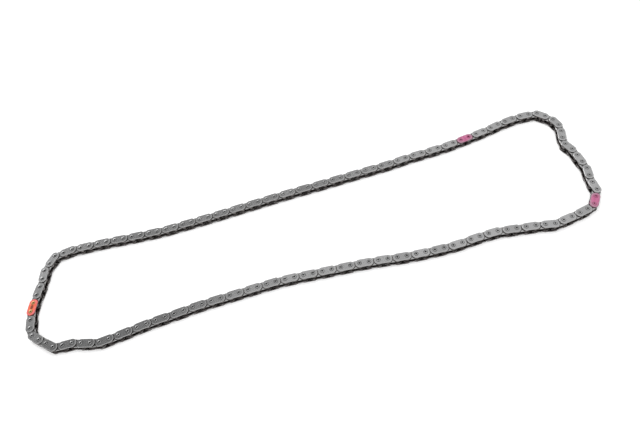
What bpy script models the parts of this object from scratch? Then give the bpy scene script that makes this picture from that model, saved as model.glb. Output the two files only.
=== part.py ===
"""Timing chain: a single-strand bush chain of 146 links, lying on its side as a closed loop.

Metres, +Z up. The pins stand along Z and the loop's long side runs along X. The origin is under the
middle of the loop, on the surface that the lower pin ends rest on.

Pin 0 is the first pin of the orange plate, and pins are counted clockwise round the loop as seen
from above. Link n joins pin n to pin n + 1. An even link is an outer link: two outer plates on two
pins. An odd link is an inner link: two inner plates on two bushes. Every pin turns in a bush.

The chain is built as rigid bodies, each one link or a run of links, joined by real pins in bushes.
Bodies that swing take turns with bodies that only shift: round the loop, every other body swings.
The swinging bodies come in pairs that run opposite ways, so a pair that turns by one angle leaves
the loop closed.
"""

import math
from collections import namedtuple

import bmesh
import bpy
import numpy as np
from mathutils import Matrix, Vector

MM = 0.001

# Driving dimensions of the chain
PITCH = 8.0 * MM
PLATE_END_GAP = 0.5 * MM
INNER_PLATE_INSET = 0.15 * MM
OUTER_PLATE_THICKNESS = 1.0 * MM
INNER_PLATE_THICKNESS = 1.0 * MM
TOOTH_GAP = 3.2 * MM
SIDE_PLAY = 0.1 * MM
EYE_WALL = 1.1 * MM
BUSH_WALL = 0.85 * MM
RUNNING_CLEARANCE = 0.05 * MM
PRESS_SEAT = 0.03 * MM
PIN_PROUD = 0.3 * MM
RIVET_FLARE = 0.2 * MM
RIVET_CHAMFER = 0.15 * MM

# Facets of the round forms
LOOSE_END_FACETS = 7
RUN_END_FACETS = 3
LOOSE_ROUND_FACETS = 12
RUN_JOINT_FACETS = 8
RUN_BUSH_FACETS = 6
SMOOTH_ANGLE = math.radians(50)

# Sizes that follow from them
OUTER_PLATE_HEIGHT = PITCH - PLATE_END_GAP
INNER_PLATE_HEIGHT = OUTER_PLATE_HEIGHT - 2 * INNER_PLATE_INSET
BUSH_RADIUS = INNER_PLATE_HEIGHT / 2 - EYE_WALL
BORE_RADIUS = BUSH_RADIUS - BUSH_WALL
PIN_RADIUS = BORE_RADIUS - RUNNING_CLEARANCE
INNER_PLATE_LOW = TOOTH_GAP / 2
INNER_PLATE_HIGH = INNER_PLATE_LOW + INNER_PLATE_THICKNESS
OUTER_PLATE_LOW = INNER_PLATE_HIGH + SIDE_PLAY
OUTER_PLATE_HIGH = OUTER_PLATE_LOW + OUTER_PLATE_THICKNESS
PIN_HALF_LENGTH = OUTER_PLATE_HIGH + PIN_PROUD
MERGE_DISTANCE = PRESS_SEAT / 30

# Surfaces: colour, roughness, metallic
SURFACES = {
    "plate_steel": ((0.42, 0.42, 0.43), 0.45, 0.9),
    "pin_steel": ((0.62, 0.62, 0.63), 0.25, 1.0),
    "bush_steel": ((0.30, 0.30, 0.31), 0.35, 1.0),
    "orange_paint": ((0.85, 0.13, 0.06), 0.4, 0.0),
    "magenta_paint": ((0.58, 0.11, 0.30), 0.4, 0.0),
}

# How the chain lies: heading in degrees from +X at chosen links. Between two of them, the links
# share the turn evenly.
LAY = (
    (0, 74), (1, 70), (2, 69), (3, 74), (4, 77), (5, 56), (6, 51), (7, 6), (8, 6), (9, -5), (12, -4),
    (14, -10), (15, -6), (19, -4), (20, -0.5), (27, 1), (32, 0.5), (36, -1.5), (40, 0), (45, -1),
    (48, 3.5), (50, -1), (53, 1), (55, 5.5), (58, 7), (60, 8.5), (62, 5.5), (64, -5), (65, -12),
    (66, -49), (67, -56), (68, -79), (69, -102), (70, -111), (71, -101), (72, -71), (73, -87),
    (75, -90), (76, -106), (78, -96), (79, -127), (80, -130), (81, -160), (83, -168), (84, -177),
    (85, -175), (86, -194), (88, -190), (91, -190), (92, -181), (95, -176), (97, -183), (101, -187),
    (103, -190.5), (107, -186), (112, -186.5), (116, -183), (118, -181), (122, -181), (125, -176),
    (128, -178), (131, -173.5), (134, -176), (135, -193), (137, -200), (138, -183), (139, -188),
    (140, -221), (142, -224), (143, -254), (144, -270), (145, -271),
)

# The bodies, in order round the loop: name, first link, last link
Body = namedtuple("Body", "name first last")
BODIES = (
    Body("orange_mark_link", 0, 0),
    Body("inner_link_after_orange", 1, 1),
    Body("left_outer_link_2", 2, 2),
    Body("left_run", 3, 5),
    Body("left_outer_link_3", 6, 6),
    Body("top_run_1", 7, 11),
    Body("top_run_2", 12, 18),
    Body("top_run_3", 19, 21),
    Body("top_run_4", 22, 30),
    Body("top_run_5", 31, 49),
    Body("top_run_6", 50, 54),
    Body("inner_link_before_top_mark", 55, 55),
    Body("top_mark_link", 56, 56),
    Body("inner_link_after_top_mark", 57, 57),
    Body("top_run_7", 58, 60),
    Body("right_corner_run", 61, 69),
    Body("right_outer_link_1", 70, 70),
    Body("right_run", 71, 75),
    Body("right_outer_link_2", 76, 76),
    Body("right_inner_link", 77, 77),
    Body("right_outer_link_3", 78, 78),
    Body("inner_link_before_right_mark", 79, 79),
    Body("right_mark_link", 80, 80),
    Body("inner_link_after_right_mark", 81, 81),
    Body("bottom_run_1", 82, 84),
    Body("bottom_run_2", 85, 91),
    Body("bottom_run_3", 92, 96),
    Body("bottom_run_4", 97, 105),
    Body("bottom_run_5", 106, 112),
    Body("bottom_run_6", 113, 115),
    Body("bottom_run_7", 116, 124),
    Body("bottom_run_8", 125, 129),
    Body("bottom_outer_link", 130, 130),
    Body("left_corner_run", 131, 143),
    Body("left_outer_link_1", 144, 144),
    Body("inner_link_before_orange", 145, 145),
)
LINKS = BODIES[-1].last + 1

# The outer links whose upper plate is painted to show the valve timing
MARK_PAINTS = {
    "orange_mark_link": "orange_paint",
    "top_mark_link": "magenta_paint",
    "right_mark_link": "magenta_paint",
}

# The inner links that are made as separate plates and bushes
LOOSE_INNER_LINKS = (
    "inner_link_before_orange",
    "inner_link_after_orange",
    "inner_link_before_top_mark",
    "inner_link_after_top_mark",
    "inner_link_before_right_mark",
)

# Bodies that swing together, by one angle, on opposite sides of the loop
SWING_PAIRS = (
    ("orange_mark_link", "right_outer_link_2"),
    ("left_outer_link_2", "right_outer_link_1"),
    ("left_outer_link_3", "right_mark_link"),
    ("left_outer_link_1", "right_outer_link_3"),
    ("top_run_2", "bottom_run_5"),
    ("top_run_4", "bottom_run_7"),
    ("top_run_6", "bottom_run_3"),
    ("top_mark_link", "bottom_outer_link"),
    ("top_run_7", "bottom_run_1"),
)

# The body that the others hang from, and the body at whose first pin the loop is left open between
# two branches
ROOT = "top_run_5"
OPENED_AT = "bottom_run_5"

# How finely the loop is closed
CLOSING_STEPS = 30
RANK_TOLERANCE = 1e-9


def lay_headings():
    """The heading of every link, in radians."""
    chosen = np.array(LAY)
    return np.radians(np.interp(np.arange(LINKS), chosen[:, 0], chosen[:, 1]))


def links_of(name):
    body = next(body for body in BODIES if body.name == name)
    return list(range(body.first, body.last + 1))


def closed_headings():
    """Turns the links by the least that closes the loop and sets each swing pair exactly opposite."""
    headings = lay_headings()
    closing_sets = [list(range(LINKS))]
    closing_sets += [links_of(first) + links_of(second) for first, second in SWING_PAIRS]
    for _ in range(CLOSING_STEPS):
        along = np.stack([np.cos(headings), np.sin(headings)])
        turned = np.stack([-np.sin(headings), np.cos(headings)])
        misses = []
        slopes = []
        for links in closing_sets:
            for part, slope in zip(along, turned):
                misses.append(part[links].sum())
                row = np.zeros(LINKS)
                row[links] = slope[links]
                slopes.append(row)
        found = np.linalg.lstsq(np.array(slopes), np.array(misses), rcond=RANK_TOLERANCE)
        headings = headings - found[0]
    return headings


def pin_places(headings):
    """Where the pins stand, with the middle of their bounding box at the origin."""
    steps = PITCH * np.stack([np.cos(headings), np.sin(headings)], axis=1)
    places = np.cumsum(steps, axis=0) - steps
    return places - (places.min(axis=0) + places.max(axis=0)) / 2


def clear_scene():
    for obj in list(bpy.data.objects):
        bpy.data.objects.remove(obj, do_unlink=True)


def material(name):
    colour, roughness, metallic = SURFACES[name]
    made = bpy.data.materials.new(name)
    made.use_nodes = True
    shader = made.node_tree.nodes["Principled BSDF"]
    shader.inputs["Base Color"].default_value = (*colour, 1.0)
    shader.inputs["Roughness"].default_value = roughness
    shader.inputs["Metallic"].default_value = metallic
    return made


def circle(radius, facets, centre=(0.0, 0.0)):
    """Corners of a polygon that stands inside the circle."""
    turns = (math.tau * (k + 0.5) / facets for k in range(facets))
    return [(centre[0] + radius * math.cos(a), centre[1] + radius * math.sin(a)) for a in turns]


def hole(radius, facets, centre=(0.0, 0.0)):
    """Corners of a polygon that stands outside the circle, so a round pin clears its flats."""
    return circle(radius / math.cos(math.pi / facets), facets, centre)


def plate_outline(height, end_facets):
    """A straight-sided plate with round ends about the pins at 0 and PITCH."""
    corners = []
    for middle, start in ((PITCH, -math.pi / 2), (0.0, math.pi / 2)):
        for k in range(end_facets + 1):
            turn = start + math.pi * k / end_facets
            corners.append((middle + height / 2 * math.cos(turn), height / 2 * math.sin(turn)))
    return corners


def add_prism(bm, corners, low, high, place=Matrix.Identity(4)):
    """Extrudes a flat outline from low to high and puts it in its place."""
    verts = [bm.verts.new((x, y, low)) for x, y in corners]
    face = bm.faces.new(verts)
    grown = bmesh.ops.extrude_face_region(bm, geom=[face])
    top = [item for item in grown["geom"] if isinstance(item, bmesh.types.BMVert)]
    for vert in top:
        vert.co.z = high
    bmesh.ops.transform(bm, matrix=place, verts=verts + top)


def mesh_from(bm, name):
    bmesh.ops.recalc_face_normals(bm, faces=bm.faces)
    mesh = bpy.data.meshes.new(name)
    bm.to_mesh(mesh)
    bm.free()
    return mesh


def combine(mesh, other, operation):
    """The Boolean of two meshes, as a new mesh."""
    base = bpy.data.objects.new("base", mesh)
    tool = bpy.data.objects.new("tool", other)
    for helper in (base, tool):
        bpy.context.scene.collection.objects.link(helper)
    cut = base.modifiers.new("cut", "BOOLEAN")
    cut.operation = operation
    cut.solver = "EXACT"
    cut.object = tool
    graph = bpy.context.evaluated_depsgraph_get()
    result = bpy.data.meshes.new_from_object(base.evaluated_get(graph))
    for helper in (base, tool):
        bpy.data.objects.remove(helper)
    result.name = mesh.name
    return result


def finish_mesh(mesh, surface):
    mesh.materials.clear()
    mesh.materials.append(surface)
    mesh.shade_smooth()
    mesh.set_sharp_from_angle(angle=SMOOTH_ANGLE)
    return mesh


def mirrored_levels(low, high):
    """The two stretches of height that a pair of like plates fill, above and below the middle."""
    return ((low, high), (-high, -low))


def loose_plate(name, height, thickness, hole_radius, surface):
    """One plate by itself, its underside at z = 0, with a hole round each pin."""
    bm = bmesh.new()
    add_prism(bm, plate_outline(height, LOOSE_END_FACETS), 0.0, thickness)
    plate = mesh_from(bm, name)
    bm = bmesh.new()
    for middle in (0.0, PITCH):
        corners = hole(hole_radius, LOOSE_ROUND_FACETS, (middle, 0.0))
        add_prism(bm, corners, -thickness, 2 * thickness)
    return finish_mesh(combine(plate, mesh_from(bm, "holes"), "DIFFERENCE"), surface)


def turned(name, profile, surface):
    """A solid of revolution about Z from (radius, height) points that run round its section."""
    bm = bmesh.new()
    verts = [bm.verts.new((radius, 0.0, height)) for radius, height in profile]
    edges = [bm.edges.new(pair) for pair in zip(verts, verts[1:] + verts[:1])]
    bmesh.ops.spin(
        bm,
        geom=verts + edges,
        cent=(0, 0, 0),
        axis=(0, 0, 1),
        angle=math.tau,
        steps=LOOSE_ROUND_FACETS,
    )
    bmesh.ops.remove_doubles(bm, verts=bm.verts, dist=MERGE_DISTANCE)
    return finish_mesh(mesh_from(bm, name), surface)


def loose_pin(surface):
    """A pin, riveted at both ends over the outer plates, its middle at the origin."""
    seat = OUTER_PLATE_HIGH + PRESS_SEAT
    flare = PIN_RADIUS + RIVET_FLARE
    upper = [
        (PIN_RADIUS, seat),
        (flare, seat),
        (flare, PIN_HALF_LENGTH - RIVET_CHAMFER),
        (flare - RIVET_CHAMFER, PIN_HALF_LENGTH),
        (0.0, PIN_HALF_LENGTH),
    ]
    lower = [(radius, -height) for radius, height in reversed(upper)]
    return turned("pin", upper + lower, surface)


def loose_bush(surface):
    """A bush, flush with the outer faces of the inner plates, its middle at the origin."""
    bore = BORE_RADIUS / math.cos(math.pi / LOOSE_ROUND_FACETS)
    profile = [
        (bore, -INNER_PLATE_HIGH),
        (BUSH_RADIUS, -INNER_PLATE_HIGH),
        (BUSH_RADIUS, INNER_PLATE_HIGH),
        (bore, INNER_PLATE_HIGH),
    ]
    return turned("bush", profile, surface)


def link_place(link, headings, pins, pivot):
    """Matrix that puts a link's own frame, at its first pin and along the link, in its body's frame."""
    shift = Vector((pins[link][0] - pivot[0], pins[link][1] - pivot[1], 0.0))
    return Matrix.Translation(shift) @ Matrix.Rotation(headings[link], 4, "Z")


def is_outer(link):
    return link % 2 == 0


def run_mesh(body, headings, pins, pivot, surface):
    """A run of links as one solid, with real pins or bored bushes at its two ends.

    Where an outer plate lies on an inner plate inside the run, the plate that isn't at the run's
    ends fills the side play, so the plates seat face to face.
    """
    ends_in_pins = is_outer(body.first)
    inner_high = INNER_PLATE_HIGH
    outer_low = OUTER_PLATE_LOW
    if ends_in_pins:
        inner_high = outer_low
    else:
        outer_low = inner_high
    inner_plates = bmesh.new()
    outer_plates = bmesh.new()
    columns = bmesh.new()
    bores = bmesh.new()
    for link in range(body.first, body.last + 1):
        place = link_place(link, headings, pins, pivot)
        if is_outer(link):
            outline = plate_outline(OUTER_PLATE_HEIGHT, RUN_END_FACETS)
            for low, high in mirrored_levels(outer_low, OUTER_PLATE_HIGH):
                add_prism(outer_plates, outline, low, high, place)
        else:
            outline = plate_outline(INNER_PLATE_HEIGHT, RUN_END_FACETS)
            for low, high in mirrored_levels(INNER_PLATE_LOW, inner_high):
                add_prism(inner_plates, outline, low, high, place)
    bush_high = INNER_PLATE_LOW + INNER_PLATE_THICKNESS / 2
    pin_high = OUTER_PLATE_LOW + OUTER_PLATE_THICKNESS / 2
    for pin in range(body.first, body.last + 2):
        link = min(pin, body.last)
        place = link_place(link, headings, pins, pivot)
        middle = (PITCH if pin > body.last else 0.0, 0.0)
        at_end = pin in (body.first, body.last + 1)
        if at_end and ends_in_pins:
            corners = circle(PIN_RADIUS, RUN_JOINT_FACETS, middle)
            add_prism(columns, corners, -pin_high, pin_high, place)
        elif at_end:
            corners = circle(BUSH_RADIUS, RUN_JOINT_FACETS, middle)
            add_prism(columns, corners, -bush_high, bush_high, place)
            corners = hole(BORE_RADIUS, RUN_JOINT_FACETS, middle)
            add_prism(bores, corners, -PIN_HALF_LENGTH, PIN_HALF_LENGTH, place)
        else:
            corners = circle(BUSH_RADIUS, RUN_BUSH_FACETS, middle)
            add_prism(columns, corners, -pin_high, pin_high, place)
    solid = mesh_from(columns, body.name)
    for layer in (inner_plates, outer_plates):
        if layer.verts:
            solid = combine(solid, mesh_from(layer, "layer"), "UNION")
    if bores.verts:
        solid = combine(solid, mesh_from(bores, "bores"), "DIFFERENCE")
    solid.name = body.name
    return finish_mesh(solid, surface)


def body_tree():
    """Each body with its parent and the pin it turns on, outwards from the root both ways."""
    names = [body.name for body in BODIES]
    start = names.index(ROOT)
    count = len(BODIES)
    opened = names.index(OPENED_AT)
    tree = {ROOT: (None, BODIES[start].first)}
    for k in range(1, (opened - start) % count):
        body = BODIES[(start + k) % count]
        tree[body.name] = (BODIES[(start + k - 1) % count].name, body.first)
    for k in range(1, (start - opened) % count + 1):
        body = BODIES[(start - k) % count]
        tree[body.name] = (BODIES[(start - k + 1) % count].name, (body.last + 1) % LINKS)
    return tree


def make_frames(pins):
    """One empty for each body, on its joint's axis at half the chain's width, under its parent's.

    Returns the empties and their places in the world, by body.
    """
    frames = {}
    places = {}
    for name, (parent, pin) in body_tree().items():
        frame = bpy.data.objects.new("turn_" + name, None)
        frame.empty_display_size = PITCH
        bpy.context.scene.collection.objects.link(frame)
        place = Vector((pins[pin][0], pins[pin][1], PIN_HALF_LENGTH))
        frame.location = place
        if parent:
            frame.parent = frames[parent]
            frame.location = place - places[parent]
        frames[name] = frame
        places[name] = place
    return frames, places


def put(name, mesh, frame, place=Matrix.Identity(4)):
    obj = bpy.data.objects.new(name, mesh)
    obj.parent = frame
    obj.location = place.to_translation()
    obj.rotation_euler = place.to_euler()
    bpy.context.scene.collection.objects.link(obj)


def put_link(names, plates, plate_levels, column, column_name, frame, place):
    """Puts a link's two plates, upper and lower, and its two pins or bushes."""
    for name, mesh, level in zip(names, plates, plate_levels):
        put(name, mesh, frame, place @ Matrix.Translation((0, 0, level)))
    for number, along in enumerate((0.0, PITCH), start=1):
        middle = place @ Matrix.Translation((along, 0, 0))
        put(column_name + str(number), column, frame, middle)


def build():
    clear_scene()
    surfaces = {name: material(name) for name in SURFACES}
    headings = closed_headings()
    pins = pin_places(headings)
    frames, places = make_frames(pins)
    outer_plates = {}
    for surface in ("plate_steel", "orange_paint", "magenta_paint"):
        outer_plates[surface] = loose_plate(
            "outer_plate",
            OUTER_PLATE_HEIGHT,
            OUTER_PLATE_THICKNESS,
            PIN_RADIUS + PRESS_SEAT,
            surfaces[surface],
        )
    inner_plate = loose_plate(
        "inner_plate",
        INNER_PLATE_HEIGHT,
        INNER_PLATE_THICKNESS,
        BUSH_RADIUS + PRESS_SEAT,
        surfaces["plate_steel"],
    )
    pin = loose_pin(surfaces["pin_steel"])
    bush = loose_bush(surfaces["bush_steel"])
    for body in BODIES:
        frame = frames[body.name]
        pivot = places[body.name]
        place = link_place(body.first, headings, pins, pivot)
        if body.name in MARK_PAINTS:
            stem = body.name.removesuffix("_link")
            names = (stem + "_plate", stem + "_lower_plate")
            plates = (outer_plates[MARK_PAINTS[body.name]], outer_plates["plate_steel"])
            levels = (OUTER_PLATE_LOW, -OUTER_PLATE_HIGH)
            put_link(names, plates, levels, pin, stem + "_pin_", frame, place)
        elif body.name in LOOSE_INNER_LINKS:
            stem = body.name.replace("_link", "")
            names = (stem + "_upper_plate", stem + "_lower_plate")
            plates = (inner_plate, inner_plate)
            levels = (INNER_PLATE_LOW, -INNER_PLATE_HIGH)
            put_link(names, plates, levels, bush, stem + "_bush_", frame, place)
        else:
            run = run_mesh(body, headings, pins, pivot, surfaces["plate_steel"])
            put(body.name, run, frame)


build()
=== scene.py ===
import math

import bpy
import numpy as np
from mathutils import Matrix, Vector


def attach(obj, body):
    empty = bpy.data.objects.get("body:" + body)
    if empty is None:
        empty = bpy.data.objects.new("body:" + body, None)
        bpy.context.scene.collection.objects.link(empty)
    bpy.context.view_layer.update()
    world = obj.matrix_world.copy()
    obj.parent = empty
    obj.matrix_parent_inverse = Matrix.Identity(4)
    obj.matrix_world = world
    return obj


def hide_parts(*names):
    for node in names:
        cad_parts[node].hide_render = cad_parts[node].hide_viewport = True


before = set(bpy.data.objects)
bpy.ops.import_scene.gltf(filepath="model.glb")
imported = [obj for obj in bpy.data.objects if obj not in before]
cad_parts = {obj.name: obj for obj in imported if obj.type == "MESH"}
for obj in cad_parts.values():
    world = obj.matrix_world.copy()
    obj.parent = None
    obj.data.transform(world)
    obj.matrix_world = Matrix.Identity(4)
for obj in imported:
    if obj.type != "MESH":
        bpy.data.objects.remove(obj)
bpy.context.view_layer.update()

# Sizes of the chain, in metres
MM = 0.001
PITCH = 8.0 * MM
OUTER_PLATE_HEIGHT = 7.5 * MM
INNER_PLATE_HEIGHT = 7.2 * MM
PLATE_THICKNESS = 1.0 * MM
INNER_PLATE_LOW = 1.6 * MM
OUTER_PLATE_LOW = 2.7 * MM
PIN_HALF_LENGTH = 4.0 * MM
PIN_RADIUS = 1.6 * MM
HEAD_RADIUS = 1.9 * MM
SHOULDER_RADIUS = 1.7 * MM
SHOULDER_DROP = 0.16 * MM
DOME_RADIUS = 1.35 * MM
DOME_DROP = 0.06 * MM
DIMPLE_RADIUS = 0.9 * MM
DIMPLE_FLOOR = 0.75 * MM
DIMPLE_DEPTH = 0.3 * MM
BUSH_RADIUS = 2.5 * MM
BORE_RADIUS = 1.65 * MM
EDGE_ROUND = 0.3 * MM

# The plates' undersides, from the face that the chain lies on
UPPER_OUTER = PIN_HALF_LENGTH + OUTER_PLATE_LOW
LOWER_OUTER = PIN_HALF_LENGTH - OUTER_PLATE_LOW - PLATE_THICKNESS
UPPER_INNER = PIN_HALF_LENGTH + INNER_PLATE_LOW
LOWER_INNER = PIN_HALF_LENGTH - INNER_PLATE_LOW - PLATE_THICKNESS

# Sides of the round forms, and how their meshes are finished
PLATE_SIDES = 20
PIN_SIDES = 12
BUSH_SIDES = 14
MERGE_DISTANCE = 0.0005 * MM
SMOOTH_ANGLE = math.radians(33)

# The heading of chosen links, in degrees from +X, as the chain lies
LAY = (
    (0, 74), (1, 70), (2, 69), (3, 74), (4, 77), (5, 56), (6, 51), (7, 6), (8, 6), (9, -5), (12, -4),
    (14, -10), (15, -6), (19, -4), (20, -0.5), (27, 1), (32, 0.5), (36, -1.5), (40, 0), (45, -1),
    (48, 3.5), (50, -1), (53, 1), (55, 5.5), (58, 7), (60, 8.5), (62, 5.5), (64, -5), (65, -12),
    (66, -49), (67, -56), (68, -79), (69, -102), (70, -111), (71, -101), (72, -71), (73, -87),
    (75, -90), (76, -106), (78, -96), (79, -127), (80, -130), (81, -160), (83, -168), (84, -177),
    (85, -175), (86, -194), (88, -190), (91, -190), (92, -181), (95, -176), (97, -183), (101, -187),
    (103, -190.5), (107, -186), (112, -186.5), (116, -183), (118, -181), (122, -181), (125, -176),
    (128, -178), (131, -173.5), (134, -176), (135, -193), (137, -200), (138, -183), (139, -188),
    (140, -221), (142, -224), (143, -254), (144, -270), (145, -271),
)
LINKS = 146

# Each body's first and last link
BODY_LINKS = {
    "orange_mark_link": (0, 0),
    "inner_link_after_orange": (1, 1),
    "left_outer_link_2": (2, 2),
    "left_run": (3, 5),
    "left_outer_link_3": (6, 6),
    "top_run_1": (7, 11),
    "top_run_2": (12, 18),
    "top_run_3": (19, 21),
    "top_run_4": (22, 30),
    "top_run_5": (31, 49),
    "top_run_6": (50, 54),
    "inner_link_before_top_mark": (55, 55),
    "top_mark_link": (56, 56),
    "inner_link_after_top_mark": (57, 57),
    "top_run_7": (58, 60),
    "right_corner_run": (61, 69),
    "right_outer_link_1": (70, 70),
    "right_run": (71, 75),
    "right_outer_link_2": (76, 76),
    "right_inner_link": (77, 77),
    "right_outer_link_3": (78, 78),
    "inner_link_before_right_mark": (79, 79),
    "right_mark_link": (80, 80),
    "inner_link_after_right_mark": (81, 81),
    "bottom_run_1": (82, 84),
    "bottom_run_2": (85, 91),
    "bottom_run_3": (92, 96),
    "bottom_run_4": (97, 105),
    "bottom_run_5": (106, 112),
    "bottom_run_6": (113, 115),
    "bottom_run_7": (116, 124),
    "bottom_run_8": (125, 129),
    "bottom_outer_link": (130, 130),
    "left_corner_run": (131, 143),
    "left_outer_link_1": (144, 144),
    "inner_link_before_orange": (145, 145),
}
LOOSE_INNER_LINKS = (
    "inner_link_before_orange",
    "inner_link_after_orange",
    "inner_link_before_top_mark",
    "inner_link_after_top_mark",
    "inner_link_before_right_mark",
)
SWING_PAIRS = (
    ("orange_mark_link", "right_outer_link_2"),
    ("left_outer_link_2", "right_outer_link_1"),
    ("left_outer_link_3", "right_mark_link"),
    ("left_outer_link_1", "right_outer_link_3"),
    ("top_run_2", "bottom_run_5"),
    ("top_run_4", "bottom_run_7"),
    ("top_run_6", "bottom_run_3"),
    ("top_mark_link", "bottom_outer_link"),
    ("top_run_7", "bottom_run_1"),
)

# Rounds of closing the loop, and how slight a condition has to be to count as implied by the others
CLOSING_ROUNDS = 30
IMPLIED_CONDITION = 1e-9


def links_of(body):
    first, last = BODY_LINKS[body]
    return list(range(first, last + 1))


def link_headings():
    """The heading of every link in radians: the chosen lay, turned by the least that closes the loop.

    Each pair of swinging bodies closes on its own too, so that the pair can turn.
    """
    chosen = np.array(LAY)
    headings = np.radians(np.interp(np.arange(LINKS), chosen[:, 0], chosen[:, 1]))
    closing_sets = [list(range(LINKS))]
    closing_sets += [links_of(first) + links_of(second) for first, second in SWING_PAIRS]
    for _ in range(CLOSING_ROUNDS):
        along = np.stack([np.cos(headings), np.sin(headings)])
        across = np.stack([-np.sin(headings), np.cos(headings)])
        misses = []
        slopes = []
        for links in closing_sets:
            for part, slope in zip(along, across):
                misses.append(part[links].sum())
                row = np.zeros(LINKS)
                row[links] = slope[links]
                slopes.append(row)
        turns = np.linalg.lstsq(np.array(slopes), np.array(misses), rcond=IMPLIED_CONDITION)[0]
        headings = headings - turns
    return headings


def pin_places(headings):
    steps = PITCH * np.stack([np.cos(headings), np.sin(headings)], axis=1)
    places = np.cumsum(steps, axis=0) - steps
    return places - (places.min(axis=0) + places.max(axis=0)) / 2


HEADINGS = link_headings()
PINS = pin_places(HEADINGS)


class Sheet:
    """A node tree being laid out."""

    def __init__(self, tree):
        self.tree = tree

    def feed(self, socket, value):
        """Sets a socket to a value, or links it to another node's socket."""
        if isinstance(value, bpy.types.NodeSocket):
            self.tree.links.new(value, socket)
        else:
            socket.default_value = value

    def node(self, kind, sockets=None, **settings):
        """Adds a node, sets it up and feeds its sockets."""
        made = self.tree.nodes.new(kind)
        for name, value in settings.items():
            setattr(made, name, value)
        for name, value in (sockets or {}).items():
            self.feed(made.inputs[name], value)
        return made

    def maths(self, operation, *values):
        return self.node("ShaderNodeMath", dict(enumerate(values)), operation=operation).outputs[0]

    def length(self, x, y):
        squares = self.maths("ADD", self.maths("MULTIPLY", x, x), self.maths("MULTIPLY", y, y))
        return self.maths("SQRT", squares)

    def parts(self, vector):
        """The sockets X, Y and Z of a vector."""
        return self.node("ShaderNodeSeparateXYZ", {0: vector}).outputs

    def object_place(self):
        return self.node("ShaderNodeTexCoord").outputs["Object"]

    def attribute(self, name, socket):
        return self.node("ShaderNodeAttribute", attribute_name=name).outputs[socket]

    def noise(self, scale, detail=2.0, roughness=0.5):
        sockets = {"Vector": self.object_place(), "Scale": scale, "Detail": detail, "Roughness": roughness}
        return self.node("ShaderNodeTexNoise", sockets).outputs[0]

    def ramp(self, value, start, end, low=0.0, high=1.0):
        """A value that goes from low to high while another goes from start to end."""
        sockets = {0: value, "From Min": start, "From Max": end, "To Min": low, "To Max": high}
        return self.node("ShaderNodeMapRange", sockets).outputs[0]

    def two_tone(self, value, start, end, first, second):
        """A colour that goes from first to second while a value goes from start to end."""
        made = self.node("ShaderNodeValToRGB", {0: value})
        for element, place, colour in zip(made.color_ramp.elements, (start, end), (first, second)):
            element.position = place
            element.color = (*colour, 1.0)
        return made.outputs[0]

    def coated(self, colour, coats):
        """A colour with coats over it, each one's colour as strong as its share."""
        for share, coat in coats:
            mix = self.node("ShaderNodeMix", {0: share, 6: colour, 7: (*coat, 1.0)}, data_type="RGBA")
            colour = mix.outputs[2]
        return colour


# Inputs of every tree that sets a form on points
LAID_INPUTS = (
    ("Sides", "NodeSocketInt"),
    ("Seed", "NodeSocketInt"),
    ("Material", "NodeSocketMaterial"),
)


def new_group(name, lengths, others=()):
    """A Geometry Nodes group with a shape in and out, inputs for lengths, and other inputs."""
    tree = bpy.data.node_groups.new(name, "GeometryNodeTree")
    inputs = [("Geometry", "NodeSocketGeometry")]
    inputs += [(label, "NodeSocketFloat") for label in lengths]
    inputs += others
    for label, kind in inputs:
        tree.interface.new_socket(label, in_out="INPUT", socket_type=kind)
    tree.interface.new_socket("Geometry", in_out="OUTPUT", socket_type="NodeSocketGeometry")
    sheet = Sheet(tree)
    inlet = sheet.node("NodeGroupInput")
    outlet = sheet.node("NodeGroupOutput")
    return sheet, inlet.outputs, outlet.inputs


def ring_group():
    """Grows a closed form by one ring: pulls out the last face and sets its radius and height.

    The form is round about one pin, or about two pins a pitch apart when a pitch is given.
    """
    sheet, given, out = new_group("Next ring", ("Pitch", "Radius", "Height"))
    cap = sheet.node("GeometryNodeInputNamedAttribute", {"Name": "cap"}, data_type="BOOLEAN")
    pulled = sheet.node(
        "GeometryNodeExtrudeMesh",
        {
            "Mesh": given["Geometry"],
            "Selection": cap.outputs["Attribute"],
            "Offset Scale": MM,
            "Individual": False,
        },
        mode="FACES",
    )
    place = sheet.parts(sheet.node("GeometryNodeInputPosition").outputs[0])
    beyond = sheet.maths("GREATER_THAN", place["X"], sheet.maths("MULTIPLY", given["Pitch"], 0.5))
    centre = sheet.maths("MULTIPLY", beyond, given["Pitch"])
    from_centre = sheet.maths("SUBTRACT", place["X"], centre)
    spoke = sheet.node("ShaderNodeCombineXYZ", {"X": from_centre, "Y": place["Y"]})
    unit = sheet.node("ShaderNodeVectorMath", {0: spoke.outputs[0]}, operation="NORMALIZE")
    reach = sheet.node(
        "ShaderNodeVectorMath", {0: unit.outputs[0], "Scale": given["Radius"]}, operation="SCALE"
    )
    middle = sheet.node("ShaderNodeCombineXYZ", {"X": centre, "Z": given["Height"]})
    there = sheet.node("ShaderNodeVectorMath", {0: reach.outputs[0], 1: middle.outputs[0]}, operation="ADD")
    moved = sheet.node(
        "GeometryNodeSetPosition",
        {
            "Geometry": pulled.outputs["Mesh"],
            "Selection": pulled.outputs["Top"],
            "Position": there.outputs[0],
        },
    )
    capped = sheet.node(
        "GeometryNodeStoreNamedAttribute",
        {"Geometry": moved.outputs[0], "Name": "cap", "Value": pulled.outputs["Top"]},
        data_type="BOOLEAN",
        domain="FACE",
    )
    sheet.feed(out["Geometry"], capped.outputs[0])
    return sheet.tree


NEXT_RING = ring_group()


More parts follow.
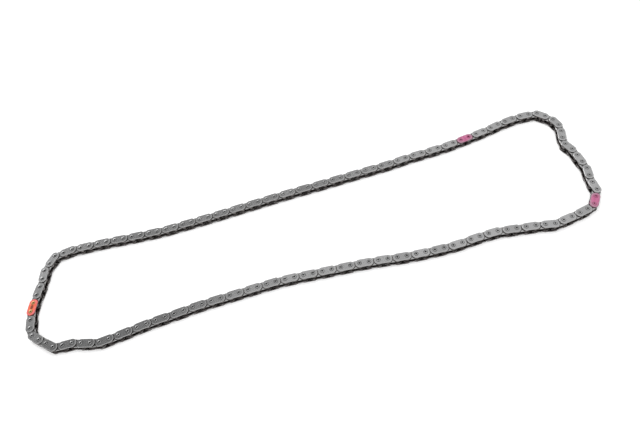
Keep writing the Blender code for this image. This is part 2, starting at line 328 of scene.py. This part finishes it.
def grown_form(sheet, sides, pitch, rings):
    """A closed form through rings of (radius, height), from its underside up."""
    radius, height = rings[0]
    disc = sheet.node("GeometryNodeMeshCircle", {"Vertices": sides, "Radius": radius}, fill_type="NGON")
    half_step = sheet.maths("DIVIDE", math.pi, sides)
    turn = sheet.node("ShaderNodeCombineXYZ", {"Z": half_step})
    lift = sheet.node("ShaderNodeCombineXYZ", {"Z": height})
    level = sheet.node(
        "GeometryNodeTransform",
        {"Geometry": disc.outputs[0], "Translation": lift.outputs[0], "Rotation": turn.outputs[0]},
    )
    place = sheet.parts(sheet.node("GeometryNodeInputPosition").outputs[0])
    far_half = sheet.maths("GREATER_THAN", place["X"], 0.0)
    step = sheet.node("ShaderNodeCombineXYZ", {"X": pitch})
    stretched = sheet.node(
        "GeometryNodeSetPosition",
        {"Geometry": level.outputs[0], "Selection": far_half, "Offset": step.outputs[0]},
    )
    underside = sheet.node("GeometryNodeFlipFaces", {"Mesh": stretched.outputs[0]})
    grown = sheet.node(
        "GeometryNodeStoreNamedAttribute",
        {"Geometry": stretched.outputs[0], "Name": "cap", "Value": True},
        data_type="BOOLEAN",
        domain="FACE",
    ).outputs[0]
    for radius, height in rings[1:]:
        sockets = {"Geometry": grown, "Pitch": pitch, "Radius": radius, "Height": height}
        grown = sheet.node("GeometryNodeGroup", sockets, node_tree=NEXT_RING).outputs[0]
    joined = sheet.node("GeometryNodeJoinGeometry")
    sheet.feed(joined.inputs[0], grown)
    sheet.feed(joined.inputs[0], underside.outputs[0])
    merged = sheet.node(
        "GeometryNodeMergeByDistance", {"Geometry": joined.outputs[0], "Distance": MERGE_DISTANCE}
    )
    return merged.outputs[0]


def set_on_points(sheet, given, out, form):
    """Puts the form on every point, turned to the point's heading, each with a tone of its own."""
    heading = sheet.node("GeometryNodeInputNamedAttribute", {"Name": "heading"}, data_type="FLOAT")
    euler = sheet.node("ShaderNodeCombineXYZ", {"Z": heading.outputs["Attribute"]})
    turn = sheet.node("FunctionNodeEulerToRotation", {0: euler.outputs[0]})
    placed = sheet.node(
        "GeometryNodeInstanceOnPoints",
        {"Points": given["Geometry"], "Instance": form, "Rotation": turn.outputs[0]},
    )
    chance = sheet.node("FunctionNodeRandomValue", {"Seed": given["Seed"]}, data_type="FLOAT")
    toned = sheet.node(
        "GeometryNodeStoreNamedAttribute",
        {"Geometry": placed.outputs[0], "Name": "tone", "Value": chance.outputs[1]},
        data_type="FLOAT",
        domain="INSTANCE",
    )
    real = sheet.node("GeometryNodeRealizeInstances", {"Geometry": toned.outputs[0]})
    smooth = sheet.node("GeometryNodeSetShadeSmooth", {"Geometry": real.outputs[0]})
    dressed = sheet.node(
        "GeometryNodeSetMaterial", {"Geometry": smooth.outputs[0], "Material": given["Material"]}
    )
    sheet.feed(out["Geometry"], dressed.outputs[0])


def plate_tree():
    """Link plates with rounded edges, one on each point."""
    lengths = ("Pitch", "Height", "Thickness", "Edge round")
    sheet, given, out = new_group("Link plates", lengths, LAID_INPUTS)
    thickness = given["Thickness"]
    edge = given["Edge round"]
    radius = sheet.maths("MULTIPLY", given["Height"], 0.5)
    narrow = sheet.maths("SUBTRACT", radius, edge)
    flat = sheet.maths("SUBTRACT", narrow, sheet.maths("MULTIPLY", edge, 0.5))
    wall_top = sheet.maths("SUBTRACT", thickness, edge)
    rings = [(narrow, 0.0), (radius, edge), (radius, wall_top), (narrow, thickness), (flat, thickness)]
    form = grown_form(sheet, given["Sides"], given["Pitch"], rings)
    place = sheet.node("GeometryNodeInputPosition").outputs[0]
    marked = sheet.node(
        "GeometryNodeStoreNamedAttribute",
        {"Geometry": form, "Name": "own_place", "Value": place},
        data_type="FLOAT_VECTOR",
        domain="POINT",
    )
    set_on_points(sheet, given, out, marked.outputs[0])
    return sheet.tree


def pin_tree():
    """Pins riveted at both ends, each head a low dome with a punched dimple, one on each point."""
    lengths = ("Half length", "Seat", "Pin radius", "Head radius", "Shoulder radius", "Shoulder drop")
    lengths += ("Dome radius", "Dome drop", "Dimple radius", "Dimple floor", "Dimple depth")
    sheet, given, out = new_group("Riveted pins", lengths, LAID_INPUTS)
    top = given["Half length"]
    shoulder = sheet.maths("SUBTRACT", top, given["Shoulder drop"])
    dome = sheet.maths("SUBTRACT", top, given["Dome drop"])
    dimple = sheet.maths("SUBTRACT", top, given["Dimple depth"])
    upper = [
        (given["Pin radius"], given["Seat"]),
        (given["Head radius"], given["Seat"]),
        (given["Shoulder radius"], shoulder),
        (given["Dome radius"], dome),
        (given["Dimple radius"], top),
        (given["Dimple floor"], dimple),
    ]
    lower = [(radius, sheet.maths("MULTIPLY", height, -1.0)) for radius, height in reversed(upper[:3])]
    set_on_points(sheet, given, out, grown_form(sheet, given["Sides"], 0.0, lower + upper))
    return sheet.tree


def bush_tree():
    """Plain tubes, one on each point."""
    sheet, given, out = new_group("Bushes", ("Radius", "Bore radius", "Half length"), LAID_INPUTS)
    middle = sheet.maths("MULTIPLY", sheet.maths("ADD", given["Radius"], given["Bore radius"]), 0.5)
    wall = sheet.maths("SUBTRACT", given["Radius"], given["Bore radius"])
    length = sheet.maths("MULTIPLY", given["Half length"], 2.0)
    path = sheet.node("GeometryNodeCurvePrimitiveCircle", {"Resolution": given["Sides"], "Radius": middle})
    section = sheet.node("GeometryNodeCurvePrimitiveQuadrilateral", {"Width": wall, "Height": length})
    tube = sheet.node(
        "GeometryNodeCurveToMesh", {"Curve": path.outputs[0], "Profile Curve": section.outputs[0]}
    )
    set_on_points(sheet, given, out, tube.outputs[0])
    return sheet.tree


def added(name, data):
    """A new object in the scene."""
    made = bpy.data.objects.new(name, data)
    bpy.context.scene.collection.objects.link(made)
    return made


def made_by(tree, name, places, sizes, surface):
    """Runs a tree on points of (x, y, z, heading) and gives back one plain mesh object."""
    points = bpy.data.meshes.new(name)
    points.from_pydata([place[:3] for place in places], [], [])
    heading = points.attributes.new("heading", "FLOAT", "POINT")
    heading.data.foreach_set("value", [float(place[3]) for place in places])
    carrier = added(name + "_points", points)
    modifier = carrier.modifiers.new("making", "NODES")
    modifier.node_group = tree
    given = {**sizes, "Material": surface}
    for item in tree.interface.items_tree:
        if item.in_out == "INPUT" and item.name in given:
            modifier[item.identifier] = given[item.name]
    graph = bpy.context.evaluated_depsgraph_get()
    mesh = bpy.data.meshes.new_from_object(carrier.evaluated_get(graph), depsgraph=graph)
    bpy.data.objects.remove(carrier)
    mesh.name = name
    cap = mesh.attributes.get("cap")
    if cap:
        mesh.attributes.remove(cap)
    mesh.materials.clear()
    mesh.materials.append(surface)
    mesh.set_sharp_from_angle(angle=SMOOTH_ANGLE)
    return added(name, mesh)


# The steel's mottle: the shares of fine grain, broad stains and each piece's own tone
GRAIN_SHARE = 0.45
STAIN_SHARE = 0.3
TONE_SHARE = 0.25
STAIN_SCALE = 130.0

# The span of a noise that a surface makes use of
NOISE_LOW = 0.3
NOISE_HIGH = 0.7

# How far the steel's roughness goes below and above its mean, and how deep its grain is
SMOOTHER = 0.06
ROUGHER = 0.08
STEEL_RELIEF = 0.05 * MM

# Coats on the plates: a painted highlight on the rims, and painted shade on the edges, between the plates and
# round the outer plates' ends
OUTER_RADIUS = OUTER_PLATE_HEIGHT / 2
INNER_RADIUS = INNER_PLATE_HEIGHT / 2
RIM_WIDTH = 0.3 * MM
RING_WIDTH = 0.75 * MM
EDGE_SHADE_TOP = 0.8 * PLATE_THICKNESS
EDGE_SHADE_FULL = 0.62 * PLATE_THICKNESS
SHADE_BELOW_MIDDLE = 0.72
FACING = 0.2
STEEP_FROM = 0.55
STEEP_FULL = 0.2
SPOT_SCALE = 650.0
SPOTS_FROM = 0.48
SPOTS_FULL = 0.64
SHADE_IN_SPOTS = 0.55
# The colours of the rims' painted highlight and of the plates' painted shade
RIM_HIGHLIGHT_STEEL = (0.46, 0.46, 0.46)
PLATE_SHADE = (0.095, 0.085, 0.082)

# Oil on the bushes, strongest where the grain is low
BUSH_OIL = (0.05, 0.042, 0.04)
OILY_GRAIN = 0.35
CLEAN_GRAIN = 0.65
MOST_OIL = 0.7
LEAST_OIL = 0.1

# Marking paint, measured from the painted plate's middle, where a length across it counts for more
PAINT_ROUGHNESS = 0.42
PAINT_RELIEF = 0.06 * MM
PAINT_SHADE = 0.8
WORN_FULL = 0.68
CLOUD_SCALE = 420.0
PATCH_FROM = 0.35
PATCH_FULL = 0.6
PATCH_LEAST = 0.3
SPECK_SCALE = 1400.0
SPECKS_SMOOTHEST = 0.34
SPECKS_ROUGHEST = 0.5
ACROSS_WEIGHT = 1.7
RUBBED_FROM = 4.2 * MM
RUBBED_FULL = 6.6 * MM
RUBBED_MOST = 0.85
SMUDGE_EDGE = 2.9 * MM
SMUDGE_FULL = 1.5 * MM


def new_surface(name, base, roughness, metallic):
    made = bpy.data.materials.new(name)
    made.use_nodes = True
    shader = made.node_tree.nodes["Principled BSDF"]
    shader.inputs["Base Color"].default_value = (*base, 1.0)
    shader.inputs["Roughness"].default_value = roughness
    shader.inputs["Metallic"].default_value = metallic
    return made, Sheet(made.node_tree), shader


def finish_surface(sheet, shader, colour, roughness, height, strength, depth):
    """Links the shader to its colour, its roughness and a fine relief."""
    relief = sheet.node("ShaderNodeBump", {"Height": height, "Strength": strength, "Distance": depth})
    sheet.feed(shader.inputs["Base Color"], colour)
    sheet.feed(shader.inputs["Roughness"], roughness)
    sheet.feed(shader.inputs["Normal"], relief.outputs[0])


def tumbled_steel(name, dark, light, roughness, grain, relief, coats):
    """Steel from a tumbling drum: mottled grain, faint stains and a tone of its own for each piece.

    A higher grain is finer, and relief says how strongly it stands out. The coats say where the
    steel is painted lighter or darker, as painted highlight and painted shade on plates and pins, or
    smeared with oil on the bushes, each with its colour there.
    """
    made, sheet, shader = new_surface(name, light, roughness, metallic=1.0)
    fine = sheet.noise(grain, detail=3.0, roughness=0.6)
    stain = sheet.maths("MULTIPLY", sheet.noise(STAIN_SCALE), STAIN_SHARE)
    tone = sheet.maths("MULTIPLY", sheet.attribute("tone", "Fac"), TONE_SHARE)
    mottle = sheet.maths("ADD", sheet.maths("MULTIPLY", fine, GRAIN_SHARE), stain)
    mottle = sheet.maths("ADD", mottle, tone)
    bare = sheet.two_tone(mottle, NOISE_LOW, NOISE_HIGH, dark, light)
    colour = sheet.coated(bare, coats(sheet, fine))
    rough = sheet.ramp(fine, NOISE_LOW, NOISE_HIGH, roughness - SMOOTHER, roughness + ROUGHER)
    finish_surface(sheet, shader, colour, rough, height=fine, strength=relief, depth=STEEL_RELIEF)
    return made


def above_middle(sheet):
    """The height above the chain's middle plane."""
    return sheet.maths("SUBTRACT", sheet.parts(sheet.object_place())["Z"], PIN_HALF_LENGTH)


def from_pin(sheet, place, pin):
    """The distance on a plate from one of its two pins."""
    return sheet.length(sheet.maths("SUBTRACT", place["X"], pin), place["Y"])


def highlight_rim(sheet, place, nearest, outward, radius):
    """The rim of a plate's outward face, where a painted highlight goes."""
    between = sheet.maths("COMPARE", place["X"], PITCH / 2, PITCH / 2)
    side = sheet.maths("ABSOLUTE", place["Y"])
    reach = sheet.node("ShaderNodeMix", {0: between, 2: nearest, 3: side}, data_type="FLOAT").outputs[0]
    rim = sheet.ramp(reach, radius - EDGE_ROUND - RIM_WIDTH, radius - EDGE_ROUND)
    return sheet.maths("MULTIPLY", rim, sheet.maths("GREATER_THAN", outward, FACING))


def shaded_edge(sheet, lean, height, low):
    """Painted shade on the inner part of a plate's stamped edge, and on all of it, less strongly, below the
    middle.
    """
    steep = sheet.ramp(sheet.maths("ABSOLUTE", lean), STEEP_FROM, STEEP_FULL)
    level = sheet.maths("SUBTRACT", sheet.maths("ABSOLUTE", height), low)
    under = sheet.ramp(level, EDGE_SHADE_TOP, EDGE_SHADE_FULL)
    below = sheet.maths("MULTIPLY", sheet.maths("LESS_THAN", height, 0.0), SHADE_BELOW_MIDDLE)
    return sheet.maths("MULTIPLY", steep, sheet.maths("MAXIMUM", under, below))


def on_plates(low, radius, joint_ring=None):
    """Where a plate is bright and where dark.

    Its rim is painted lighter, as a painted highlight. Painted shade lies on the inner part of its
    stamped edge, on the face towards the chain's inside, and on inner plates in the corner round the
    ends of the outer plates, where it stands for a shadow; lighter spots in it are painted highlights.
    """

    def coats(sheet, grain):
        lean = sheet.parts(sheet.node("ShaderNodeNewGeometry").outputs["Normal"])["Z"]
        height = above_middle(sheet)
        outward = sheet.maths("MULTIPLY", lean, sheet.maths("SIGN", height))
        place = sheet.parts(sheet.attribute("own_place", "Vector"))
        nearest = sheet.maths("MINIMUM", from_pin(sheet, place, 0.0), from_pin(sheet, place, PITCH))
        # A painted highlight along the rim of the outward face
        rim = highlight_rim(sheet, place, nearest, outward, radius)
        # Painted shade on the faces towards the chain's middle, between the plates, and on the stamped edges
        inward = sheet.maths("LESS_THAN", outward, -FACING)
        shaded = sheet.maths("MAXIMUM", shaded_edge(sheet, lean, height, low), inward)
        # A painted shadow on the inner plates, in a ring round the ends of the outer plates
        if joint_ring:
            ring = sheet.ramp(nearest, joint_ring + RING_WIDTH, joint_ring + 0.5 * RING_WIDTH)
            shaded = sheet.maths("MAXIMUM", shaded, ring)
        # Lighter spots in the painted shade, standing for painted highlights
        lighter = sheet.ramp(sheet.noise(SPOT_SCALE), SPOTS_FROM, SPOTS_FULL, low=1.0, high=SHADE_IN_SPOTS)
        return [(rim, RIM_HIGHLIGHT_STEEL), (sheet.maths("MULTIPLY", shaded, lighter), PLATE_SHADE)]

    return coats


def in_the_dimples(colour):
    """The dimples in the pin ends, the heads' low rims and the pins' hidden length, darkened as painted
    shade.
    """

    def coats(sheet, grain):
        height = sheet.maths("ABSOLUTE", above_middle(sheet))
        full = PIN_HALF_LENGTH - 0.5 * DIMPLE_DEPTH
        edge = PIN_HALF_LENGTH - 0.2 * DIMPLE_DEPTH
        return [(sheet.ramp(height, full, edge, low=1.0, high=0.0), colour)]

    return coats


def all_over(sheet, grain):
    """Oil in uneven smears."""
    return [(sheet.ramp(grain, OILY_GRAIN, CLEAN_GRAIN, MOST_OIL, LEAST_OIL), BUSH_OIL)]


def marking_paint(name, colour, lighter, thin, smudge, smudged):
    """Thin brushed-on paint, uneven in thickness, rubbed thin at the plate's ends and sides.

    A smudge of oil lies on it between the pins, as strong as smudged says.
    """
    made, sheet, shader = new_surface(name, colour, PAINT_ROUGHNESS, metallic=0.0)
    cloud = sheet.noise(CLOUD_SCALE, detail=4.0, roughness=0.65)
    speck = sheet.noise(SPECK_SCALE)
    thick = [channel * PAINT_SHADE for channel in colour]
    brushed = sheet.two_tone(cloud, NOISE_LOW, WORN_FULL, thick, lighter)
    place = sheet.parts(sheet.attribute("own_place", "Vector"))
    along = sheet.maths("SUBTRACT", place["X"], PITCH / 2)
    off_middle = sheet.length(along, sheet.maths("MULTIPLY", place["Y"], ACROSS_WEIGHT))
    patchy = sheet.ramp(cloud, PATCH_FROM, PATCH_FULL, low=PATCH_LEAST)
    rubbed = sheet.ramp(off_middle, RUBBED_FROM, RUBBED_FULL, high=RUBBED_MOST)
    soiled = sheet.ramp(off_middle, SMUDGE_EDGE, SMUDGE_FULL, high=smudged)
    painted = sheet.coated(brushed, [(sheet.maths("MULTIPLY", rubbed, patchy), thin), (soiled, smudge)])
    rough = sheet.ramp(speck, NOISE_LOW, NOISE_HIGH, SPECKS_SMOOTHEST, SPECKS_ROUGHEST)
    finish_surface(sheet, shader, painted, rough, height=cloud, strength=0.25, depth=PAINT_RELIEF)
    return made


PLATE_LOOK = {
    "dark": (0.32, 0.32, 0.322),
    "light": (0.44, 0.44, 0.442),
    "roughness": 0.24,
    "grain": 4000.0,
    "relief": 0.2,
}
SMEARED_LOOK = {"roughness": 0.3, "grain": 1300.0, "relief": 0.2}
OUTER_PLATE_STEEL = tumbled_steel(
    "outer_plate_steel", coats=on_plates(OUTER_PLATE_LOW, OUTER_RADIUS), **PLATE_LOOK
)
INNER_PLATE_STEEL = tumbled_steel(
    "inner_plate_steel", coats=on_plates(INNER_PLATE_LOW, INNER_RADIUS, joint_ring=OUTER_RADIUS), **PLATE_LOOK
)
# The colours given to in_the_dimples, here and for the smeared pins below, are painted shade
PIN_STEEL = tumbled_steel(
    "pin_steel",
    dark=(0.38, 0.38, 0.38),
    light=(0.52, 0.52, 0.52),
    roughness=0.2,
    grain=2200.0,
    relief=0.1,
    coats=in_the_dimples((0.03, 0.03, 0.03)),
)
ORANGE_SMEARED_STEEL = tumbled_steel(
    "orange_smeared_steel",
    dark=(0.6, 0.25, 0.07),
    light=(0.85, 0.6, 0.3),
    coats=in_the_dimples((0.35, 0.12, 0.05)),
    **SMEARED_LOOK,
)
MAGENTA_SMEARED_STEEL = tumbled_steel(
    "magenta_smeared_steel",
    dark=(0.45, 0.1, 0.22),
    light=(0.6, 0.3, 0.42),
    coats=in_the_dimples((0.28, 0.05, 0.12)),
    **SMEARED_LOOK,
)
BUSH_STEEL = tumbled_steel(
    "bush_steel",
    dark=(0.2, 0.19, 0.19),
    light=(0.4, 0.385, 0.38),
    roughness=0.34,
    grain=1800.0,
    relief=0.25,
    coats=all_over,
)
ORANGE_PAINT = marking_paint(
    "orange_paint",
    colour=(0.84, 0.1, 0.045),
    lighter=(0.9, 0.2, 0.1),
    thin=(0.72, 0.17, 0.2),
    smudge=(0.17, 0.035, 0.012),
    smudged=0.92,
)
MAGENTA_PAINT = marking_paint(
    "magenta_paint",
    colour=(0.5, 0.11, 0.25),
    lighter=(0.58, 0.19, 0.33),
    thin=(0.34, 0.25, 0.29),
    smudge=(0.4, 0.08, 0.2),
    smudged=0.3,
)

# The slot, the paint and the steel of each marked link
MARKS = {
    "orange_mark_link": ("orange_paint", ORANGE_PAINT, ORANGE_SMEARED_STEEL),
    "top_mark_link": ("magenta_paint", MAGENTA_PAINT, MAGENTA_SMEARED_STEEL),
    "right_mark_link": ("magenta_paint", MAGENTA_PAINT, MAGENTA_SMEARED_STEEL),
}

PLATES = plate_tree()
RIVETED_PINS = pin_tree()
BUSHES = bush_tree()

PLATE_SIZES = {"Pitch": PITCH, "Thickness": PLATE_THICKNESS, "Edge round": EDGE_ROUND, "Sides": PLATE_SIDES}
PIN_SIZES = {
    "Half length": PIN_HALF_LENGTH,
    "Seat": OUTER_PLATE_LOW + PLATE_THICKNESS,
    "Pin radius": PIN_RADIUS,
    "Head radius": HEAD_RADIUS,
    "Shoulder radius": SHOULDER_RADIUS,
    "Shoulder drop": SHOULDER_DROP,
    "Dome radius": DOME_RADIUS,
    "Dome drop": DOME_DROP,
    "Dimple radius": DIMPLE_RADIUS,
    "Dimple floor": DIMPLE_FLOOR,
    "Dimple depth": DIMPLE_DEPTH,
    "Sides": PIN_SIDES,
}
BUSH_SIZES = {
    "Radius": BUSH_RADIUS,
    "Bore radius": BORE_RADIUS,
    "Half length": INNER_PLATE_LOW + PLATE_THICKNESS,
    "Sides": BUSH_SIDES,
}


def plates_on(name, links, levels, height, surface, seed):
    """Plates on the given links, their undersides at the given levels."""
    places = [(*PINS[link], level, HEADINGS[link]) for link in links for level in levels]
    return made_by(PLATES, name, places, {**PLATE_SIZES, "Height": height, "Seed": seed}, surface)


def outer_plates(name, links, levels, seed, surface=OUTER_PLATE_STEEL):
    return plates_on(name, links, levels, OUTER_PLATE_HEIGHT, surface, seed)


def inner_plates(name, links, seed):
    return plates_on(name, links, (UPPER_INNER, LOWER_INNER), INNER_PLATE_HEIGHT, INNER_PLATE_STEEL, seed)


def columns_on(tree, name, links, sizes, surface, seed):
    """A pin or bush at both ends of each of the given links."""
    ends = [(link, end) for link in links for end in (link, (link + 1) % LINKS)]
    places = [(*PINS[end], PIN_HALF_LENGTH, HEADINGS[link]) for link, end in ends]
    return made_by(tree, name, places, {**sizes, "Seed": seed}, surface)


def riveted_pins(name, links, seed, surface=PIN_STEEL):
    return columns_on(RIVETED_PINS, name, links, PIN_SIZES, surface, seed)


def pressed_bushes(name, links, seed):
    return columns_on(BUSHES, name, links, BUSH_SIZES, BUSH_STEEL, seed)


def settle(piece, body, finish, *nodes):
    """Puts a piece on its body and hides the CAD nodes that it stands for; its finish is not used."""
    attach(piece, body)
    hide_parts(*nodes)


for seed, body in enumerate(BODY_LINKS):
    outer = [link for link in links_of(body) if link % 2 == 0]
    inner = [link for link in links_of(body) if link % 2 == 1]
    stem = body.replace("_link", "")
    if body in MARKS:
        slot, paint, smeared_steel = MARKS[body]
        upper = outer_plates(stem + "_painted_plate", outer, [UPPER_OUTER], seed, paint)
        settle(upper, body, slot, stem + "_plate")
        lower = outer_plates(stem + "_under_plate", outer, [LOWER_OUTER], seed)
        settle(lower, body, "plate_steel", stem + "_lower_plate")
        pins = riveted_pins(stem + "_riveted_pins", outer, seed, smeared_steel)
        settle(pins, body, "pin_steel", stem + "_pin_1", stem + "_pin_2")
    elif body in LOOSE_INNER_LINKS:
        plates = inner_plates(stem + "_plates", inner, seed)
        settle(plates, body, "plate_steel", stem + "_upper_plate", stem + "_lower_plate")
        bushes = pressed_bushes(stem + "_bushes", inner, seed)
        settle(bushes, body, "bush_steel", stem + "_bush_1", stem + "_bush_2")
    else:
        if outer:
            plates = outer_plates(body + "_outer_plates", outer, [UPPER_OUTER, LOWER_OUTER], seed)
            settle(plates, body, "plate_steel", body)
            pins = riveted_pins(body + "_pins", outer, seed)
            settle(pins, body, "pin_steel", body)
        if inner:
            plates = inner_plates(body + "_inner_plates", inner, seed)
            settle(plates, body, "plate_steel", body)
            bushes = pressed_bushes(body + "_bushes", inner, seed)
            settle(bushes, body, "bush_steel", body)

# The floor, and how bright it shows close to the chain and far from it
FLOOR_CORNERS = ((-3.0, -3.0), (3.0, -3.0), (3.0, 3.0), (-3.0, 3.0))
FLOOR_PAPER = (0.93, 0.93, 0.93, 1.0)
FLOOR_CLOSE = 0.5
FLOOR_FAR = 1.6
CLOSE_GLOW = 0.2
FAR_GLOW = 0.66

# The room, as it lights the chain and as it shows
WORLD_WHITE = (1.0, 1.0, 1.0, 1.0)
ROOM_LIGHT = 0.35
ROOM_SHOWING = 0.65

# The card that the left half mirrors, its front edge dimmer than its back
CARD_LEVEL = 0.5
CARD_CORNERS = ((0.575, 0.71), (-0.55, 0.71), (-0.52, 0.32), (-1.2, 0.2), (-1.2, 0.057), (-0.46, 0.057))
CARD_FRONT = 0.22
CARD_BACK = 0.42
FRONT_SHINE = 0.22
BACK_SHINE = 0.46

# The camera, fitted to the photo
CAMERA_PLACE = (-0.01792, -0.27874, 0.43306)
CAMERA_TURN = (34.4826, 6.8775, -15.6539)
CAMERA_LENS = 32.582
CAMERA_SENSOR = 36.0


def flat_sheet(name, surface_name, corners, level):
    """One flat face, and an empty sheet for its material's nodes."""
    mesh = bpy.data.meshes.new(name)
    mesh.from_pydata([(x, y, level) for x, y in corners], [], [tuple(range(len(corners)))])
    surface = bpy.data.materials.new(surface_name)
    surface.use_nodes = True
    surface.node_tree.nodes.clear()
    mesh.materials.append(surface)
    return added(name, mesh), Sheet(surface.node_tree)


def seen_rays(sheet):
    """One for rays by which a thing is seen, straight, mirrored or through glass, zero for the rest."""
    rays = sheet.node("ShaderNodeLightPath").outputs
    seen = sheet.maths("MAXIMUM", rays["Is Camera Ray"], rays["Is Glossy Ray"])
    return sheet.maths("MAXIMUM", seen, rays["Is Transmission Ray"])


def white_floor():
    """A pale floor that shows white, and keeps the chain's shadow."""
    floor, sheet = flat_sheet("floor", "floor_white", FLOOR_CORNERS, 0.0)
    paper = sheet.node("ShaderNodeBsdfDiffuse", {"Color": FLOOR_PAPER})
    away = sheet.node("ShaderNodeVectorMath", {0: sheet.object_place()}, operation="LENGTH")
    glow = sheet.ramp(away.outputs["Value"], FLOOR_CLOSE, FLOOR_FAR, CLOSE_GLOW, FAR_GLOW)
    shown = sheet.node("ShaderNodeEmission", {"Strength": sheet.maths("MULTIPLY", seen_rays(sheet), glow)})
    both = sheet.node("ShaderNodeAddShader", {0: paper.outputs[0], 1: shown.outputs[0]})
    sheet.node("ShaderNodeOutputMaterial", {"Surface": both.outputs[0]})


def studio_world():
    world = bpy.data.worlds.new("studio")
    bpy.context.scene.world = world
    world.use_nodes = True
    world.node_tree.nodes.clear()
    sheet = Sheet(world.node_tree)
    strength = sheet.maths("ADD", sheet.maths("MULTIPLY", seen_rays(sheet), ROOM_SHOWING), ROOM_LIGHT)
    backdrop = sheet.node("ShaderNodeBackground", {"Color": WORLD_WHITE, "Strength": strength})
    sheet.node("ShaderNodeOutputWorld", {"Surface": backdrop.outputs[0]})


def dim_card():
    """A grey card above and behind the left half of the chain, which only shows in the steel."""
    card, sheet = flat_sheet("dim_card", "card_grey", CARD_CORNERS, CARD_LEVEL)
    depth = sheet.parts(sheet.object_place())["Y"]
    shine = sheet.ramp(depth, CARD_FRONT, CARD_BACK, FRONT_SHINE, BACK_SHINE)
    shown = sheet.node("ShaderNodeEmission", {"Strength": shine})
    sheet.node("ShaderNodeOutputMaterial", {"Surface": shown.outputs[0]})
    card.visible_camera = False
    card.visible_diffuse = False
    card.visible_shadow = False
    card.visible_transmission = False


def soft_lamp(name, place, aim, width, height, power, mirrored):
    """A wide lamp, which the steel mirrors or only takes light from."""
    data = bpy.data.lights.new(name, "AREA")
    data.shape = "RECTANGLE"
    data.size = width
    data.size_y = height
    data.energy = power
    lamp = added(name, data)
    lamp.location = place
    lamp.rotation_euler = (Vector(aim) - Vector(place)).to_track_quat("-Z", "Y").to_euler()
    lamp.visible_glossy = mirrored


def photo_camera():
    data = bpy.data.cameras.new("camera")
    data.sensor_width = CAMERA_SENSOR
    data.lens = CAMERA_LENS
    camera = added("camera", data)
    camera.location = CAMERA_PLACE
    camera.rotation_euler = [math.radians(angle) for angle in CAMERA_TURN]
    bpy.context.scene.camera = camera


white_floor()
studio_world()
dim_card()
soft_lamp(
    "overhead_softbox",
    place=(0.0, -0.1, 1.4),
    aim=(0.0, 0.0, 0.0),
    width=1.2,
    height=1.2,
    power=17.0,
    mirrored=False,
)
soft_lamp(
    "back_strip",
    place=(-0.45, 1.02, 0.6),
    aim=(-0.15, 0.0, 0.0),
    width=1.2,
    height=0.48,
    power=4.2,
    mirrored=True,
)
photo_camera()
bpy.context.scene.view_settings.view_transform = "Standard"
